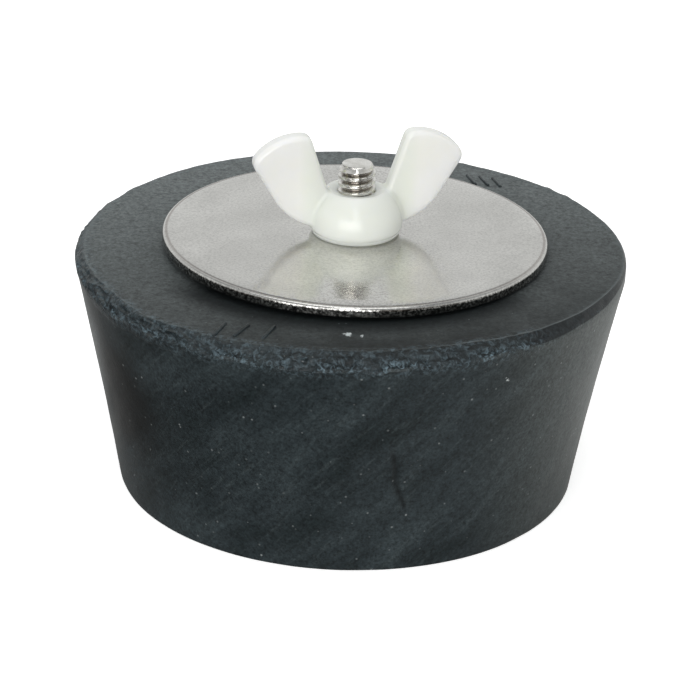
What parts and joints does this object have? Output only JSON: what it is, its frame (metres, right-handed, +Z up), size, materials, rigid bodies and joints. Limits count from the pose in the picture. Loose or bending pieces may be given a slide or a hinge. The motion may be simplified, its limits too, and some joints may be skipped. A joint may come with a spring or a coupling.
{
  "type": "expansion plug",
  "caption": "Tapered black rubber expansion plug between two stainless steel discs, tightened by a white nylon wing nut on a carriage bolt.",
  "frame": {"origin": "centre of the standing face, the small end of the rubber, on the bolt's axis", "axes": "+Z up along the bolt, from the small end to the wing nut; the wings lie 13 degrees from the X axis at rest"},
  "size_m": [0.09, 0.09, 0.0595],
  "materials": {
    "black_rubber": "moulded, matt with mould bloom",
    "stamped_stainless": "fine rolled mill finish",
    "bright_stainless": "bright, cold headed and rolled",
    "white_nylon": "moulded, translucent"
  },
  "bodies": {
    "base": {"rubber_body": "black_rubber", "bottom_plate": "stamped_stainless", "carriage_bolt": "bright_stainless"},
    "press": {"top_plate": "stamped_stainless"},
    "nut": {"wing_nut": "white_nylon"}
  },
  "joints": [
    {"name": "plate_press", "type": "slide", "parent": "base", "child": "press", "axis": [0, 0, -1], "range_m": [0, 0.00508], "deforming": ["rubber_body"]},
    {"name": "nut_turn", "type": "hinge", "parent": "press", "child": "nut", "pos_m": [0, 0, 0.0422], "axis": [0, 0, -1], "range_deg": [0, 1440]}
  ],
  "couplings": [
    {"joint": "nut_turn", "follows": "plate_press", "rad_per_m": 4947.4}
  ]
}
